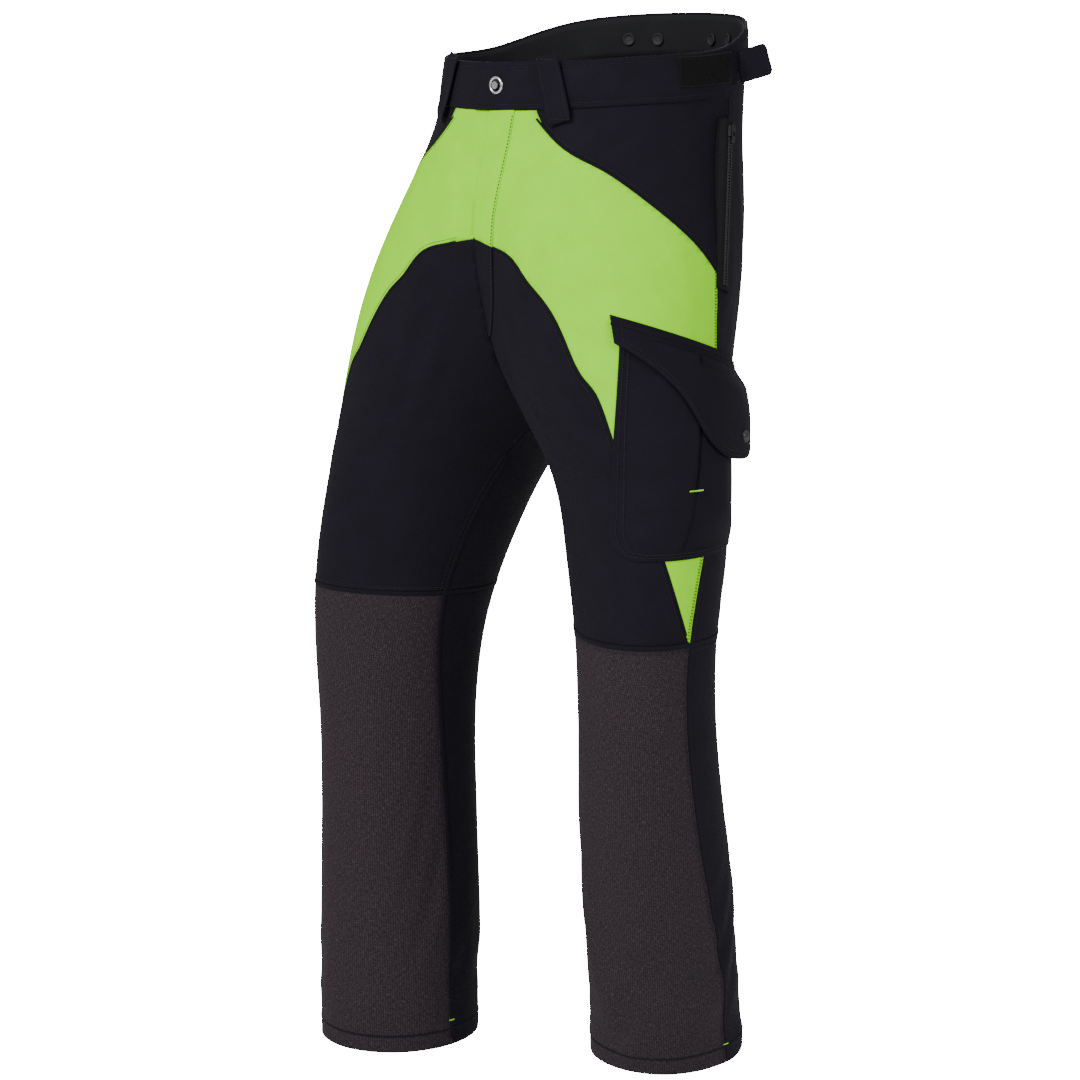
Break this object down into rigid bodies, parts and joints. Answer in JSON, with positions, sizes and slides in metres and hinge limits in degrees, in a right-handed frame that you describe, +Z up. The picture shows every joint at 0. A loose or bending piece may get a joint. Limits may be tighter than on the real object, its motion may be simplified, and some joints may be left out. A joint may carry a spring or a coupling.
{
  "type": "chainsaw protection trousers",
  "caption": "Full-length chainsaw protection trousers in dark stretch cloth with bright thigh bands, grey wear panels below the knee, a flapped thigh pocket, zipped hips and waist tabs.",
  "frame": {"origin": "centre of the waist opening, at the height of the waistband's top edge at the sides", "axes": "+Z up out of the waist opening, -Y towards the wearer's front, +X towards the wearer's left"},
  "size_m": [0.5709, 0.3803, 1.1618],
  "materials": {
    "dark_fabric": "matte four-way stretch twill",
    "bright_fabric": "matte high-visibility stretch twill",
    "grey_ripstop": "coarse heathered wear fabric",
    "cut_padding": "stacked fibre cut protection",
    "lining_mesh": "knitted mesh",
    "tape": "woven zip tape",
    "hook_and_loop": "fuzzy loop pile",
    "bright_thread": "satin thread",
    "dark_plastic": "satin",
    "zip_metal": "dark lacquered",
    "button_metal": "brushed rim with dark centre"
  },
  "bodies": {
    "trousers": {"lime_panel_left": "bright_fabric", "lime_panel_right": "bright_fabric", "hip_panel_left": "dark_fabric", "thigh_panel_left": "dark_fabric", "seat_panel_left": "dark_fabric", "calf_panel_left": "dark_fabric", "hip_panel_right": "dark_fabric", "thigh_panel_right": "dark_fabric", "seat_panel_right": "dark_fabric", "calf_panel_right": "dark_fabric", "knee_panel_left": "grey_ripstop", "knee_panel_right": "grey_ripstop", "cut_pad_left": "cut_padding", "cut_pad_right": "cut_padding", "leg_lining_left": "lining_mesh", "leg_lining_right": "lining_mesh", "hem_tape_left": "dark_fabric", "hem_tape_right": "dark_fabric", "hip_zip_tape_left": "tape", "hip_zip_tape_right": "tape", "hip_zip_teeth_left": "dark_plastic", "hip_zip_teeth_right": "dark_plastic", "loop_patch_left": "hook_and_loop", "loop_patch_right": "hook_and_loop", "waistband_left": "dark_fabric", "waistband_right": "dark_fabric", "waistband_back": "dark_fabric", "belt_loops": "dark_fabric", "waistband_lining": "lining_mesh", "waist_tack": "button_metal", "brace_buttons": "dark_plastic", "fly_placket": "bright_fabric", "fly_shield": "dark_fabric", "fly_zip_tape": "tape", "fly_zip_teeth": "dark_plastic", "cargo_pocket_bag": "dark_fabric", "cargo_flap_seam": "dark_fabric", "bar_tacks": "bright_thread"},
    "cargo_flap": {"cargo_pocket_flap": "dark_fabric", "cargo_snap_cap": "dark_plastic"},
    "button": {"waist_button": "button_metal"},
    "adjuster_left": {"adjuster_tab_left": "hook_and_loop"},
    "hip_slider_left": {"hip_zip_slider_left": "zip_metal"},
    "hip_pull_left": {"hip_zip_pull_left": "zip_metal"},
    "adjuster_right": {"adjuster_tab_right": "hook_and_loop"},
    "hip_slider_right": {"hip_zip_slider_right": "zip_metal"},
    "hip_pull_right": {"hip_zip_pull_right": "zip_metal"},
    "fly_slider": {"fly_zip_slider": "zip_metal"},
    "fly_pull": {"fly_zip_pull": "zip_metal"}
  },
  "joints": [
    {"name": "cargo_flap_hinge", "type": "hinge", "parent": "trousers", "child": "cargo_flap", "pos_m": [0.2472, -0.1191, -0.288], "axis": [-0.2455, -0.9164, 0.3162], "range_deg": [0, 100]},
    {"name": "button_turn", "type": "hinge", "parent": "trousers", "child": "button", "pos_m": [0.01085, -0.15516, -0.032], "axis": [0.0698, -0.9976, 0], "continuous": true},
    {"name": "adjuster_turn_left", "type": "hinge", "parent": "trousers", "child": "adjuster_left", "pos_m": [0.1718, 0.04283, -0.014], "axis": [0, 0, 1], "range_deg": [-88, 70]},
    {"name": "hip_zip_run_left", "type": "slide", "parent": "trousers", "child": "hip_slider_left", "axis": [0.2194, -0.2772, -0.9354], "range_m": [0, 0.15]},
    {"name": "hip_pull_swing_left", "type": "hinge", "parent": "hip_slider_left", "child": "hip_pull_left", "pos_m": [0.1913, 0.01507, -0.07348], "axis": [0.116, -0.9446, 0.3071], "range_deg": [0, 160]},
    {"name": "adjuster_turn_right", "type": "hinge", "parent": "trousers", "child": "adjuster_right", "pos_m": [-0.17178, 0.04283, -0.014], "axis": [0, 0, 1], "range_deg": [-70, 88]},
    {"name": "hip_zip_run_right", "type": "slide", "parent": "trousers", "child": "hip_slider_right", "axis": [-0.2194, -0.2772, -0.9354], "range_m": [0, 0.15]},
    {"name": "hip_pull_swing_right", "type": "hinge", "parent": "hip_slider_right", "child": "hip_pull_right", "pos_m": [-0.1913, 0.01507, -0.07348], "axis": [0.116, 0.9446, -0.3071], "range_deg": [0, 160]},
    {"name": "fly_zip_run", "type": "slide", "parent": "trousers", "child": "fly_slider", "axis": [0, 0, -1], "range_m": [0, 0.13]},
    {"name": "fly_pull_swing", "type": "hinge", "parent": "fly_slider", "child": "fly_pull", "pos_m": [0, -0.14625, -0.06682], "axis": [-1, 0, 0], "range_deg": [0, 10]}
  ]
}
